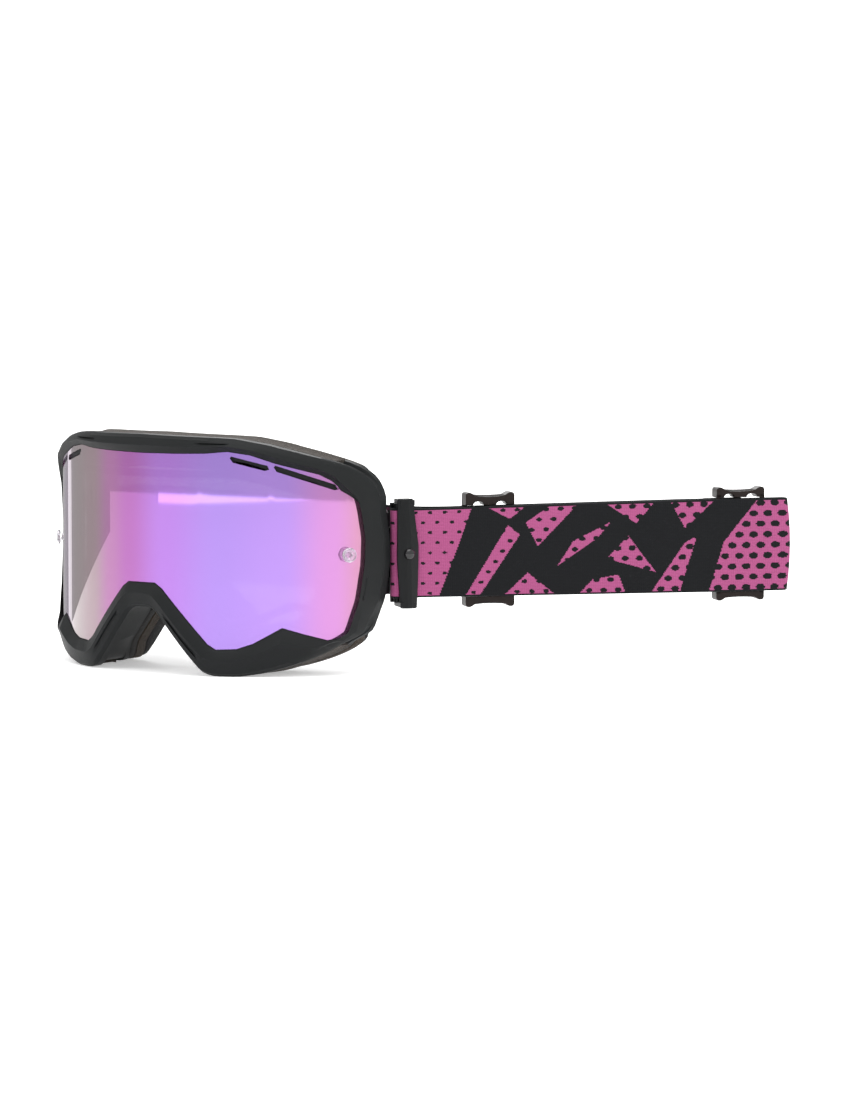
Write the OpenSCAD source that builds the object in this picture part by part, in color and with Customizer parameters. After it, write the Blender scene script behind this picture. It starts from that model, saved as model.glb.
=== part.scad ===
// Off-road riding goggles: a deep moulded frame with a cylindrical dual lens, three-layer
// face foam, two hinged outriggers and a 45 mm elastic strap with two adjusters.
// +Z is up, the lens looks along -Y, the wearer's left side is +X.
// The origin is the middle of the face opening, on the surface that meets the face.

/* [Lens] */
// Radius of the outer face of the lens, a vertical cylinder
lens_r = 102; // [100:0.5:104]
// Thickness of the outer lens
lens_t = 1.2; // [1:0.1:1.6]
// Thickness of the inner pane
pane_t = 0.8; // [0.6:0.1:1]
// Air gap between the panes, filled at the rim by the spacer
pane_gap = 2.6; // [2:0.1:3]
// Arc distance of the tear-off posts from the middle of the lens
post_arc = 104; // [102:0.5:105]
// Height of the tear-off posts
post_z = 1; // [-2:0.5:4]
// Radius of a tear-off post's head
post_head_r = 3.6; // [3.2:0.1:4]

/* [Frame] */
// How far the bezel stands proud of the lens
bezel_lip = 2.5; // [2:0.1:3]
// Depth of the bezel from the lens face to its back
bezel_depth = 9; // [8:0.5:10]
// Wall thickness of the frame
wall = 3; // [2.6:0.1:3.4]
// Depth of the channel round the frame that holds the vent foam
vent_recess = 4; // [3.5:0.1:4.5]
// Radius of the curve that the frame's back edge follows
face_r = 120; // [116:1:124]

/* [Foam] */
// Thickness of the first foam layer, against the frame
foam_base_t = 5; // [4:0.5:6]
// Thickness of the middle foam layer
foam_middle_t = 7; // [6:0.5:8]
// Thickness of the fleece that touches the face
fleece_t = 3; // [2:0.5:4]

/* [Outrigger] */
// Distance of each hinge pin from the middle plane
hinge_x = 88; // [87.5:0.25:88.5]
// Distance of the hinge pins behind the origin
hinge_y = 34.2; // [34:0.1:35]
// Radius of a hinge pin
pin_r = 1; // [0.9:0.05:1.1]
// Running clearance of a hinge pin in its outrigger
pin_clear = 0.05; // [0.03:0.01:0.08]
// Turn of the left outrigger and of the strap, away from straight back
left_angle = 38; // [36:1:40]
// Turn of the right outrigger, away from straight back
right_angle = 4; // [2:1:6]
// Height of an outrigger
outrigger_h = 53; // [53:0.5:55]

/* [Strap] */
// Width of the strap
strap_w = 45; // [44:0.5:45.5]
// Thickness of the strap
strap_t = 1.6; // [1.4:0.1:1.6]
// Distance from the left hinge to the fold at the strap's free end
strap_reach = 208.5; // [205:0.5:215]
// Distance from the left hinge to adjuster A
adjuster_a_at = 53; // [52:1:58]
// Distance from the left hinge to adjuster B
adjuster_b_at = 180; // [174:1:182]

/* [Hidden] */
$fn = 96;

far = 150;                                       // longer than any cut needs
foam_t = foam_base_t + foam_middle_t + fleece_t;
face_front = -foam_t;                            // back edge of the frame on the middle plane
lens_front = face_front - 27;                    // front of the lens on the middle plane
lens_axis_y = lens_front + lens_r;

// Half outlines run clockwise from the top middle, seen from the front.
// The lens and the pane are measured along the arc, the others straight across.
lens_half = [[0, 49], [35, 49.5], [46, 50.5], [57, 49], [69, 45], [90, 39.5], [96, 36.5],
             [101, 31.5], [105, 29.5], [110, 26], [113, 20], [115, 9], [114, -4], [111, -21],
             [107, -35], [101, -38.5], [94, -39.5], [84, -36.5], [76, -34], [58, -41],
             [50, -43.5], [40, -44], [36, -41.5], [12, -15.5], [8, -13], [0, -13]];
pane_half = [[0, 41], [50, 41.5], [64, 38], [86, 32], [98, 24], [104, 12], [105, 0], [102, -16],
             [98, -28], [88, -28], [76, -25], [58, -32], [46, -35], [38, -30], [18, -8],
             [10, -5], [0, -5]];
frame_half = [[0, 58], [20, 57.5], [45, 57], [62, 53.5], [75, 48.5], [84, 43], [90, 36],
              [93, 28], [95, 14], [95.5, 0], [95, -15], [93, -27], [88, -38], [80, -45.5],
              [70, -51], [60, -55], [48, -57], [36, -57], [31, -54.5], [14, -35], [8, -27],
              [5, -25], [0, -25]];
eye_half = [[0, 40], [40, 39], [56, 34], [66, 24], [70.5, 8], [70, -8], [66, -22], [58, -34],
            [49, -38], [42, -37], [31, -25], [16, -10], [9, -7], [0, -7]];

function unit(v) = v / norm(v);
function arc_x(u) = lens_r * sin(u / lens_r * 180 / PI);
function bent(half) = [for (p = half) [arc_x(p[0]), p[1]]];
function both_sides(half) =
    concat(half, [for (i = [len(half) - 1:-1:0]) if (half[i][0] > 0) [-half[i][0], half[i][1]]]);
function left_of(v) = [-v[1], v[0]];
// Moves each side of a clockwise outline outwards by d
function grown(p, d) = [for (i = [0:len(p) - 1])
    let (n = len(p), a = left_of(unit(p[i] - p[(i + n - 1) % n])),
         b = left_of(unit(p[(i + 1) % n] - p[i])), m = unit(a + b))
    p[i] + m * d / (m * a)];

lens_outline = both_sides(bent(lens_half));
pane_outline = both_sides(bent(pane_half));
frame_outline = both_sides(frame_half);
eye_outline = both_sides(eye_half);

// Outline drawn across X and Z, carried along Y
module through(outline) {
    translate([0, far, 0]) rotate([90, 0, 0]) linear_extrude(2 * far) polygon(outline);
}

// Vertical cylinder about the lens axis
module about_lens(r) {
    translate([0, lens_axis_y, -far / 2]) cylinder(r = r, h = far, $fn = 180);
}

// Everything behind a surface with the curve of the face, whose middle is at y
module behind_face(y) {
    translate([0, y + face_r, -far / 2]) cylinder(r = face_r, h = far, $fn = 180);
}

// Box from one corner to the opposite one
module block(low, high) {
    translate(low) cube(high - low);
}

// A tear-off post's own frame: Z along the lens normal, zero on the lens face
module at_post(side) {
    angle = post_arc / lens_r * 180 / PI;
    translate([side * lens_r * sin(angle), lens_axis_y - lens_r * cos(angle), post_z])
        rotate([90, 0, side * angle]) children();
}

// An outrigger's own frame: X along the strap, Y to the inside of the strap, hinge at zero
module at_hinge(side) {
    if (side > 0)
        translate([hinge_x, hinge_y, 0]) rotate([0, 0, 90 - left_angle]) children();
    else
        mirror([1, 0, 0]) translate([hinge_x, hinge_y, 0])
            rotate([0, 0, 90 - right_angle]) children();
}

// ---- frame ----

lug_r = 2.6;
knuckle_h = 26.2;
lug_gap = 0.1;
lug_top = 19.7;
vent_pitch = 20;
vent_w = 13;

module vent_channel() {
    difference() {
        about_lens(lens_r - bezel_depth);
        behind_face(face_front - wall);
    }
}

module vent_openings() {
    intersection() {
        difference() {
            about_lens(lens_r - bezel_depth - 2);
            behind_face(face_front - wall - 2);
        }
        union() {
            for (i = [-3:3])
                block([i * vent_pitch - vent_w / 2, -60, 36], [i * vent_pitch + vent_w / 2, 40, 60]);
            for (side = [-1, 1], i = [0:1])
                translate([side * (48 + i * 18), 0, 0])
                    block([-vent_w / 2, -60, -60], [vent_w / 2, 40, -42]);
        }
    }
}

module hinge_lugs(side) {
    for (up = [-1, 1])
        mirror([0, 0, up < 0 ? 1 : 0]) mirror([side < 0 ? 1 : 0, 0, 0])
            difference() {
                union() {
                    translate([hinge_x, hinge_y, knuckle_h / 2 + lug_gap])
                        cylinder(r = lug_r, h = lug_top - knuckle_h / 2 - lug_gap);
                    block([hinge_x - lug_r, 18, knuckle_h / 2 + lug_gap],
                          [hinge_x + lug_r, hinge_y, lug_top]);
                }
                translate([hinge_x, hinge_y, 0]) cylinder(r = pin_r, h = 40);
            }
}

module frame_shell() {
    color([0.16, 0.17, 0.18]) union() {
        difference() {
            union() {
                intersection() {
                    through(frame_outline);
                    difference() {
                        about_lens(lens_r + bezel_lip);
                        about_lens(lens_r - bezel_depth);
                    }
                }
                intersection() {
                    through(grown(frame_outline, -vent_recess));
                    about_lens(lens_r - bezel_depth + 1);
                }
                intersection() {
                    through(grown(frame_outline, -1));
                    behind_face(face_front - wall);
                    about_lens(lens_r + bezel_lip);
                }
            }
            behind_face(face_front);
            through(grown(lens_outline, -4));
            intersection() {
                through(grown(lens_outline, 0.3));
                difference() {
                    about_lens(lens_r + 12);
                    about_lens(lens_r - lens_t);
                }
                block([-far, -far, -60], [far, 20, 60]);
            }
            intersection() {
                through(grown(frame_outline, -vent_recess - wall));
                about_lens(lens_r - lens_t - 3);
            }
            vent_openings();
            for (side = [-1, 1]) {
                at_post(side) cylinder(r = 3.4, h = 14, center = true);
                mirror([side < 0 ? 1 : 0, 0, 0]) block([90.8, 26, -29], [99, 45, 29]);
            }
        }
        for (side = [-1, 1]) difference() {
            hinge_lugs(side);
            // The eye side of each lug stays off the foam
            mirror([side < 0 ? 1 : 0, 0, 0]) translate([0, face_front + face_r - 6, -25])
                cylinder(r = face_r - 6, h = 50, $fn = 180);
        }
    }
}

// ---- lens ----

slot_h = 2.9;

// The two slots follow the lens's top edge on each side
module lens_slots() {
    for (side = [-1, 1], s = [[49, 66, 46.6, 43.2], [70, 99, 42.4, 34]])
        let (x0 = arc_x(s[0]), x1 = arc_x(s[1]), a = atan2(s[3] - s[2], x1 - x0),
             l = norm([x1 - x0, s[3] - s[2]]))
            mirror([side < 0 ? 1 : 0, 0, 0]) translate([x0, 0, s[2]]) rotate([0, -a, 0])
                block([0, -60, -slot_h / 2], [l, 40, slot_h / 2]);
}

module lens_outer() {
    color([0.7, 0.45, 0.78, 0.8]) difference() {
        intersection() {
            through(lens_outline);
            difference() {
                about_lens(lens_r);
                about_lens(lens_r - lens_t);
            }
            block([-far, -far, -60], [far, 20, 60]);
        }
        lens_slots();
        for (side = [-1, 1]) at_post(side) cylinder(r = 1.8, h = 8, center = true);
    }
}

module lens_spacer() {
    color([0.12, 0.12, 0.12]) difference() {
        intersection() {
            through(pane_outline);
            difference() {
                about_lens(lens_r - lens_t);
                about_lens(lens_r - lens_t - pane_gap);
            }
            block([-far, -far, -60], [far, 20, 60]);
        }
        through(grown(pane_outline, -3.5));
        for (side = [-1, 1]) at_post(side) cylinder(r = 4, h = 14, center = true);
    }
}

module lens_inner() {
    color([0.8, 0.75, 0.85, 0.5]) difference() {
        intersection() {
            through(pane_outline);
            difference() {
                about_lens(lens_r - lens_t - pane_gap);
                about_lens(lens_r - lens_t - pane_gap - pane_t);
            }
            block([-far, -far, -60], [far, 20, 60]);
        }
        for (side = [-1, 1]) at_post(side) cylinder(r = 4, h = 14, center = true);
    }
}

// Foot inside the lens, shank through it, and a flat head that film tabs hook on
module tear_off_post(side) {
    color([0.85, 0.87, 0.9, 0.6]) at_post(side) {
        translate([0, 0, -lens_t - 0.85]) cylinder(r = 2.6, h = 0.8);
        translate([0, 0, -lens_t - 0.4]) cylinder(r = 1.8, h = lens_t + 3);
        translate([0, 0, 2.2]) cylinder(r = post_head_r, h = 1.5);
    }
}

// ---- foam ----

module vent_foam(low, high) {
    color([0.35, 0.33, 0.31]) intersection() {
        difference() {
            through(grown(frame_outline, -0.5));
            through(grown(frame_outline, -vent_recess));
        }
        vent_channel();
        block(low, high);
    }
}

module vent_foam_top() { vent_foam([-76, -60, 36], [76, 40, 60]); }
module vent_foam_bottom_left() { vent_foam([36, -60, -60], [84, 40, -40]); }
module vent_foam_bottom_right() { vent_foam([-84, -60, -60], [-36, 40, -40]); }

// How far across the foam reaches beside the hinges, and above and below them
hinge_clear_x = 80.5;
hinge_clear_z = 31;
foam_reach_x = 85;

module face_layer(y0, y1, edge) {
    difference() {
        intersection() {
            through(grown(frame_outline, -edge));
            behind_face(y0);
        }
        behind_face(y1);
        through(grown(eye_outline, -edge / 4));
        for (side = [-1, 1])
            mirror([side < 0 ? 1 : 0, 0, 0]) {
                block([hinge_clear_x, -20, -hinge_clear_z], [far, far, hinge_clear_z]);
                block([foam_reach_x, -20, -far], [far, far, far]);
            }
        block([-far, 60, -60], [far, 2 * far, 60]);
    }
}

module face_foam_base() {
    color([0.16, 0.15, 0.15]) face_layer(face_front, face_front + foam_base_t, 1);
}

module face_foam_middle() {
    color([0.33, 0.29, 0.27]) face_layer(face_front + foam_base_t, -fleece_t, 1.5);
}

module face_fleece() {
    color([0.1, 0.1, 0.1]) face_layer(-fleece_t, 0, 2);
}

// ---- outriggers ----

loop_post_x = 6;
loop_post_r = 1.5;
loop_mid = -2.5;                 // middle of the strap loop; inside is +Y here
front_bar_x = 10.25;
link_z = 23.4;

module outrigger(side) {
    half_h = outrigger_h / 2;
    color([0.13, 0.14, 0.15]) at_hinge(side) difference() {
        union() {
            translate([0, 0, -knuckle_h / 2]) cylinder(r = lug_r, h = knuckle_h);
            block([0, 1, -12.5], [16, 3.2, 12.5]);
            block([4, 1, -half_h], [16, 3.2, half_h]);
            for (up = [-1, 1]) mirror([0, 0, up < 0 ? 1 : 0])
                block([4.5, -9.6, link_z], [15.5, 3.2, half_h]);
            translate([loop_post_x, loop_mid, -24]) cylinder(r = loop_post_r, h = 48);
            translate([front_bar_x, -6.2, 0]) rotate([90, 0, 0]) linear_extrude(2)
                polygon([[-4, half_h], [4, half_h], [6, 4], [6, -4], [4.6, -half_h],
                         [-4.6, -half_h], [-6, -4], [-6, 4]]);
            translate([front_bar_x, -8, 0]) rotate([90, 0, 0]) linear_extrude(1.8)
                polygon([[-2, half_h - 1.5], [2, half_h - 1.5], [3.6, 4], [3.6, -4],
                         [2.4, 1.5 - half_h], [-2.4, 1.5 - half_h], [-3.6, -4], [-3.6, 4]]);
        }
        translate([0, 0, -far / 2]) cylinder(r = pin_r + pin_clear, h = far);
        translate([front_bar_x, 0, 0]) rotate([90, 0, 0]) cylinder(r = 1.5, h = 20);
    }
}

module hinge_pin(side) {
    color([0.6, 0.6, 0.62]) mirror([side < 0 ? 1 : 0, 0, 0]) translate([hinge_x, hinge_y, 0]) {
        translate([0, 0, -lug_top - 1]) cylinder(r = pin_r, h = 2 * lug_top + 1.5);
        translate([0, 0, lug_top]) cylinder(r = 1.9, h = 1);
    }
}

module outrigger_stud(side) {
    color([0.05, 0.05, 0.06]) at_hinge(side) translate([front_bar_x, 0, 0]) rotate([90, 0, 0]) {
        translate([0, 0, 6]) cylinder(r = 1.5, h = 4);
        intersection() {
            translate([0, 0, 9.8 - 3.2]) sphere(r = 4.8, $fn = 64);
            translate([0, 0, 9.8]) cylinder(r = 3.6, h = 3);
        }
    }
}

// ---- strap ----

// Levels across the strap's thickness in the left outrigger's frame, inside is +Y
front_level = loop_mid - loop_post_r - 0.1 - strap_t / 2;
return_level = -1;
back_level = 2.8;
loop_leg_end = 19;
band_start = 20.2;
back_straight_from = 36;
glide = 15.5;                     // room for the sewn ends to travel
end_leg = 14;
leg_from = 2.7;                   // where a sewn end's leg leaves its loop
slide_room_a = 20;                // adjuster A's travel towards the free end
end_gap = 0.5;                    // between a band and the sewn end that continues it
fold_r = (return_level - front_level) / 2;
bar_r = 1;

// Points of an arc as [x, y, heading]; the turn is positive to the left
function arc_path(c, r, from, to, steps) =
    [for (i = [0:steps]) let (h = from + (to - from) * i / steps, s = to > from ? 1 : -1)
        [c[0] + s * r * sin(h), c[1] - s * r * cos(h), h]];
function side_of(path, d) = [for (p = path) [p[0] - d * sin(p[2]), p[1] + d * cos(p[2])]];
function ribbon(path, a, b) =
    let (one = side_of(path, a), two = side_of(path, b), n = len(two))
        concat(one, [for (i = [n - 1:-1:0]) two[i]]);
function turned(p, a) = [p[0] * cos(a) - p[1] * sin(a), p[0] * sin(a) + p[1] * cos(a)];

// Middle line of the back band: right outrigger, round behind the face, along the front band
right_turn_r = 20;
left_turn_r = 35;
strap_heading = 90 - left_angle;
right_start = let (p = turned([band_start, front_level], 90 - right_angle))
    [-hinge_x - p[0], hinge_y + p[1]];
right_centre = right_start + right_turn_r * [cos(right_angle), sin(right_angle)];
left_centre = [hinge_x, hinge_y]
    + turned([back_straight_from, back_level + left_turn_r], strap_heading);
across = left_centre - right_centre;
line_heading = atan2(across[1], across[0]) - asin((right_turn_r + left_turn_r) / norm(across));
back_end_at = adjuster_b_at - leg_from - end_leg - glide - end_gap;
back_end = [hinge_x, hinge_y] + turned([back_end_at, back_level], strap_heading);
line_path = concat(
    arc_path(right_centre, right_turn_r, 90 + right_angle, line_heading, 20),
    arc_path(left_centre, left_turn_r, line_heading, strap_heading, 16));
back_path = concat(line_path, [[back_end[0], back_end[1], strap_heading]]);

module strap_front_band() {
    turn = strap_reach - fold_r - strap_t / 2;
    color([0.8, 0.35, 0.6]) at_hinge(1) translate([0, 0, -strap_w / 2]) linear_extrude(strap_w)
        polygon(ribbon(concat([[band_start, front_level, 0]],
                              arc_path([turn, front_level + fold_r], fold_r, 0, 180, 12),
                              [[adjuster_a_at + leg_from + end_leg + slide_room_a + end_gap, return_level, 180]]),
                       strap_t / 2, -strap_t / 2));
}

module strap_back_band() {
    color([0.75, 0.3, 0.55]) translate([0, 0, -strap_w / 2]) linear_extrude(strap_w)
        polygon(ribbon(back_path, strap_t / 2, -strap_t / 2));
}

// The strap's end turned round the outrigger's inner post
module strap_loop(side) {
    outer = loop_post_r + 0.1 + strap_t;
    color([0.8, 0.35, 0.6]) at_hinge(side) translate([loop_post_x, loop_mid, -strap_w / 2])
        difference() {
            union() {
                cylinder(r = outer, h = strap_w);
                block([0, -outer, 0], [loop_leg_end - loop_post_x, outer, strap_w]);
            }
            translate([0, 0, -1]) cylinder(r = loop_post_r + 0.1, h = strap_w + 2);
            block([0, -loop_post_r - 0.1, -1], [30, loop_post_r + 0.1, strap_w + 1]);
        }
}

// The strap's end sewn round an adjuster's middle bar; the leg points along +X
module strap_end() {
    difference() {
        union() {
            cylinder(r = bar_r + strap_t, h = strap_w);
            block([0, -strap_t, 0], [leg_from + end_leg, strap_t, strap_w]);
        }
        translate([0, 0, -1]) cylinder(r = bar_r, h = strap_w + 2);
    }
}

module strap_end_a() {
    color([0.8, 0.35, 0.6]) at_hinge(1)
        translate([adjuster_a_at, return_level, -strap_w / 2]) strap_end();
}

module strap_end_b() {
    color([0.8, 0.35, 0.6]) at_hinge(1)
        translate([adjuster_b_at, back_level, -strap_w / 2]) rotate([0, 0, 180]) strap_end();
}

// Three silicone lines on the face of the back band that lies on the head
grip_w = 2.5;
grip_t = 0.5;
module strap_grip_lines() {
    grip = ribbon([line_path[20], line_path[21]], -strap_t / 2, -strap_t / 2 - grip_t);
    color([0.25, 0.25, 0.27]) for (z = [-13, 0, 13])
        translate([0, 0, z - grip_w / 2]) linear_extrude(grip_w) polygon(grip);
}

// ---- adjusters ----

adjuster_l = 24.6;
adjuster_h = 53;
adjuster_lift = 1;                // sits a little high on the strap
rail_in = 23.8;

// Middle bar at zero, running band 3.8 to the inside, side bars beyond it
module adjuster() {
    half_l = adjuster_l / 2;
    half_h = adjuster_h / 2;
    color([0.1, 0.08, 0.08]) translate([0, 0, adjuster_lift]) {
        for (up = [-1, 1]) mirror([0, 0, up < 0 ? 1 : 0])
            translate([0, 6.5, 0]) rotate([90, 0, 0]) linear_extrude(7.5)
                polygon([[-half_l, rail_in], [half_l, rail_in], [half_l, half_h],
                         [half_l - 3.5, half_h], [half_l - 5.5, half_h - 1.3],
                         [5.5 - half_l, half_h - 1.3], [3.5 - half_l, half_h],
                         [-half_l, half_h]]);
        for (end = [-1, 1])
            translate([end * (half_l - 1.15), 5.8, 0])
                cube([2.3, 1.4, 2 * rail_in + 1], center = true);
        translate([0, 0, -24]) cylinder(r = bar_r, h = 48);
    }
}

module adjuster_a() {
    at_hinge(1) translate([adjuster_a_at, return_level, 0]) adjuster();
}

// Same part turned over
module adjuster_b() {
    at_hinge(1) translate([adjuster_b_at, back_level, 0]) mirror([0, 1, 0]) adjuster();
}

frame_shell();
lens_outer();
lens_spacer();
lens_inner();
tear_off_post(1);  // tear_off_post_left
tear_off_post(-1);  // tear_off_post_right
vent_foam_top();
vent_foam_bottom_left();
vent_foam_bottom_right();
face_foam_base();
face_foam_middle();
face_fleece();
outrigger(1);  // outrigger_left
outrigger(-1);  // outrigger_right
hinge_pin(1);  // hinge_pin_left
hinge_pin(-1);  // hinge_pin_right
outrigger_stud(1);  // outrigger_stud_left
outrigger_stud(-1);  // outrigger_stud_right
strap_front_band();
strap_back_band();
strap_loop(1);  // strap_loop_left
strap_loop(-1);  // strap_loop_right
strap_end_a();
strap_end_b();
adjuster_a();
adjuster_b();
strap_grip_lines();
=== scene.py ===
"""Off-road riding goggles with a mirror lens, layered foam, hinged outriggers and an elastic strap."""

import math

import bmesh
import bpy
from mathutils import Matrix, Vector


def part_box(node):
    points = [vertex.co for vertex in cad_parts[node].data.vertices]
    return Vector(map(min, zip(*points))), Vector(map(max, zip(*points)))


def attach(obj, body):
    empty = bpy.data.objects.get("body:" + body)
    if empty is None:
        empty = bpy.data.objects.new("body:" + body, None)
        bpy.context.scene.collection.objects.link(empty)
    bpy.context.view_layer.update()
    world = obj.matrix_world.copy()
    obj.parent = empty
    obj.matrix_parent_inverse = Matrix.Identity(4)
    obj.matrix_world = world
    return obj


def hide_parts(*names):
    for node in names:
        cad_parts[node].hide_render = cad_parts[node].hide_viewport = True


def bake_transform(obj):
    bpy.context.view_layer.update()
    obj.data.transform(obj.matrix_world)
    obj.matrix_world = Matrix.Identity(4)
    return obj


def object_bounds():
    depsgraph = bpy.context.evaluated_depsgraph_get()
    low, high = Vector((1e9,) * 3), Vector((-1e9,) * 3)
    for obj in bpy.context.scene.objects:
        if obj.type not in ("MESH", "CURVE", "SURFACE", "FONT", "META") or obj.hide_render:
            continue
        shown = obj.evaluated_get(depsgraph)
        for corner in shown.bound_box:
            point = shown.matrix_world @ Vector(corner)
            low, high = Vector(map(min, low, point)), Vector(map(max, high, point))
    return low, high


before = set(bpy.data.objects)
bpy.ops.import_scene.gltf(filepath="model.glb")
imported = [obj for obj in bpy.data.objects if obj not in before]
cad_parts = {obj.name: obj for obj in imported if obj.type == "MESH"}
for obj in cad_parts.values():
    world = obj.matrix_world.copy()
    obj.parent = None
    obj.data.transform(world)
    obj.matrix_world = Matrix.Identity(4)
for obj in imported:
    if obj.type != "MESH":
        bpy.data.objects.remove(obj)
cad_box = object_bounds()
mm = 0.001

# ---------------------------------------------------------------------------
# Studio
# A seamless pale sweep under and behind the goggles, lit by soft boxes, with
# the camera a long way off at a low three-quarter angle.
# ---------------------------------------------------------------------------
floor_z = cad_box[0][2]
sweep_back = 7.0
sweep_r = 1.2


def new_object(name, mesh):
    obj = bpy.data.objects.new(name, mesh)
    bpy.context.scene.collection.objects.link(obj)
    return obj


def mesh_object(name, verts, faces, material=None, smooth=None):
    """A mesh object from points and faces, shaded smooth below the angle given in degrees."""
    mesh = bpy.data.meshes.new(name)
    mesh.from_pydata([tuple(v) for v in verts], [], faces)
    mesh.validate()
    if material:
        mesh.materials.append(material)
    if smooth is not None:
        mesh.shade_smooth()
        mesh.set_sharp_from_angle(angle=math.radians(smooth))
    return new_object(name, mesh)


def wire(node, inputs):
    """Gives each input of a node a plain value, or links it to another node's output."""
    for key, value in inputs.items():
        if isinstance(value, bpy.types.NodeSocket):
            node.id_data.links.new(value, node.inputs[key])
        else:
            node.inputs[key].default_value = value
    return node


def add_node(tree, kind, inputs=None, **settings):
    """Adds a node to a tree, sets it up and wires its inputs."""
    node = tree.nodes.new(kind)
    for key, value in settings.items():
        setattr(node, key, value)
    return wire(node, inputs or {})


def plain_material(name, color, roughness, **inputs):
    """A node material and its shader, with one colour and roughness to build on."""
    material = bpy.data.materials.new(name)
    material.use_nodes = True
    shader = material.node_tree.nodes["Principled BSDF"]
    wire(shader, {"Base Color": (*color, 1), "Roughness": roughness})
    return material, wire(shader, {key.replace("_", " "): value for key, value in inputs.items()})


def bumped(shader, height, strength, **inputs):
    """Roughens a shader's surface by a height."""
    bump = add_node(shader.id_data, "ShaderNodeBump", {"Strength": strength, "Height": height, **inputs})
    wire(shader, {"Normal": bump.outputs["Normal"]})


sweep = [(-10.0, 0.0), (sweep_back, 0.0)]
for step in range(1, 17):
    turn = math.radians(90 * step / 16)
    sweep.append((sweep_back + sweep_r * math.sin(turn), sweep_r * (1 - math.cos(turn))))
sweep.append((sweep_back + sweep_r, 14.0))
view_turn = math.radians(36)
across = Vector((math.cos(view_turn), math.sin(view_turn), 0))
away = Vector((-math.sin(view_turn), math.cos(view_turn), 0))
sweep_points = [away * run + across * side + Vector((0, 0, floor_z + rise))
                for run, rise in sweep for side in (-16, 16)]
sweep_faces = [(2 * i, 2 * i + 1, 2 * i + 3, 2 * i + 2) for i in range(len(sweep) - 1)]
paper, paper_shader = plain_material("studio_paper", (0.93, 0.93, 0.93), 0.8,
                                     Emission_Color=(1, 1, 1, 1), Emission_Strength=0.4)
bumped(paper_shader, add_node(paper.node_tree, "ShaderNodeTexNoise", {"Scale": 40}).outputs["Fac"], 0.02)
mesh_object("studio_floor", sweep_points, sweep_faces, paper, 40)

world = bpy.data.worlds.new("studio_air")
world.use_nodes = True
wire(world.node_tree.nodes["Background"], {"Color": (1, 1, 1, 1), "Strength": 0.72})
bpy.context.scene.world = world
bpy.context.scene.view_settings.view_transform = "Standard"

aim = Vector((109.4, 38.8, 0)) * mm


def soft_box(name, azimuth, elevation, distance, size, power):
    """A square area light that faces the goggles; azimuth 0 is in front of the lens."""
    light = bpy.data.lights.new(name, "AREA")
    light.size = size
    light.energy = power
    lamp = new_object(name, light)
    a, e = math.radians(azimuth), math.radians(elevation)
    spot = Vector((math.sin(a) * math.cos(e), -math.cos(a) * math.cos(e), math.sin(e)))
    lamp.location = aim + spot * distance
    lamp.rotation_euler = spot.to_track_quat("Z", "Y").to_euler()


soft_box("top_box", 30, 74, 1.6, 1.4, 17)
soft_box("side_box", 95, 30, 1.8, 0.9, 7)
soft_box("front_box", -35, 34, 2.0, 0.9, 6)
soft_box("back_box", 215, 35, 1.8, 1.0, 9)


def glow_card(name, corners, strength, distance=0.55):
    """A card that only reflections see, through points of (azimuth, low, high) in degrees and mm."""
    material = bpy.data.materials.new(name)
    material.use_nodes = True
    material.node_tree.nodes.clear()
    glow = add_node(material.node_tree, "ShaderNodeEmission", {"Strength": strength})
    add_node(material.node_tree, "ShaderNodeOutputMaterial", {"Surface": glow.outputs["Emission"]})
    points = []
    for azimuth, low, high in corners:
        a = math.radians(azimuth)
        spot = Vector((math.sin(a), -math.cos(a), 0)) * distance
        points += [spot + Vector((0, 0, low)) * mm, spot + Vector((0, 0, high)) * mm]
    faces = [(2 * i, 2 * i + 2, 2 * i + 3, 2 * i + 1) for i in range(len(corners) - 1)]
    card = mesh_object(name, points, faces, material)
    card.visible_camera = card.visible_diffuse = card.visible_shadow = card.visible_transmission = False


def share_of(value, low, high):
    """How far a value is from low to high, as a share between 0 and 1."""
    return min(1, max(0, (value - low) / (high - low)))


card_foot = -10
glow_card("grey_wall", [(a, card_foot, 620) for a in range(-64, 131, 8)], 1.1)
for a in range(-132, -56, 4):
    corners = [(b, -56 + 50 * share_of(b, -98, -56), 500) for b in (a, a + 4)]
    glow_card(f"side_card_{a + 132}", corners, 0.5 + 0.6 * share_of(a, -108, -58), 0.23)
glow_card("silver_strip", [(a, -54, 480) for a in (-103, -100, -97)], 1.5, 0.22)
sill = [(a, card_foot - 5.5 * min(1, (66 - a) / 70), card_foot) for a in range(-24, 67, 5)]
glow_card("bright_sill", sill, 3.3)

camera_data = bpy.data.cameras.new("camera")
camera_data.sensor_fit = "HORIZONTAL"
camera_data.sensor_width = 36
camera_data.lens = 265
camera_data.clip_end = 30
camera = new_object("camera", camera_data)
view_rise = math.radians(5)
toward = Vector((math.sin(view_turn) * math.cos(view_rise),
                 -math.cos(view_turn) * math.cos(view_rise), math.sin(view_rise)))
camera.location = aim + toward * 3
camera.rotation_euler = toward.to_track_quat("Z", "Y").to_euler()
bpy.context.scene.camera = camera

# ---------------------------------------------------------------------------
# Frame shell
# One deep moulding in matte soft-touch plastic. Its bezel runs round the lens,
# with a ridged lower rim, and its back edge follows the curve of the face.
# ---------------------------------------------------------------------------
lens_r = 102 * mm
lens_axis_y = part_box("lens_outer")[0].y + lens_r
face_r = 120 * mm
face_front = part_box("lens_outer")[0].y + 27 * mm

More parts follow.
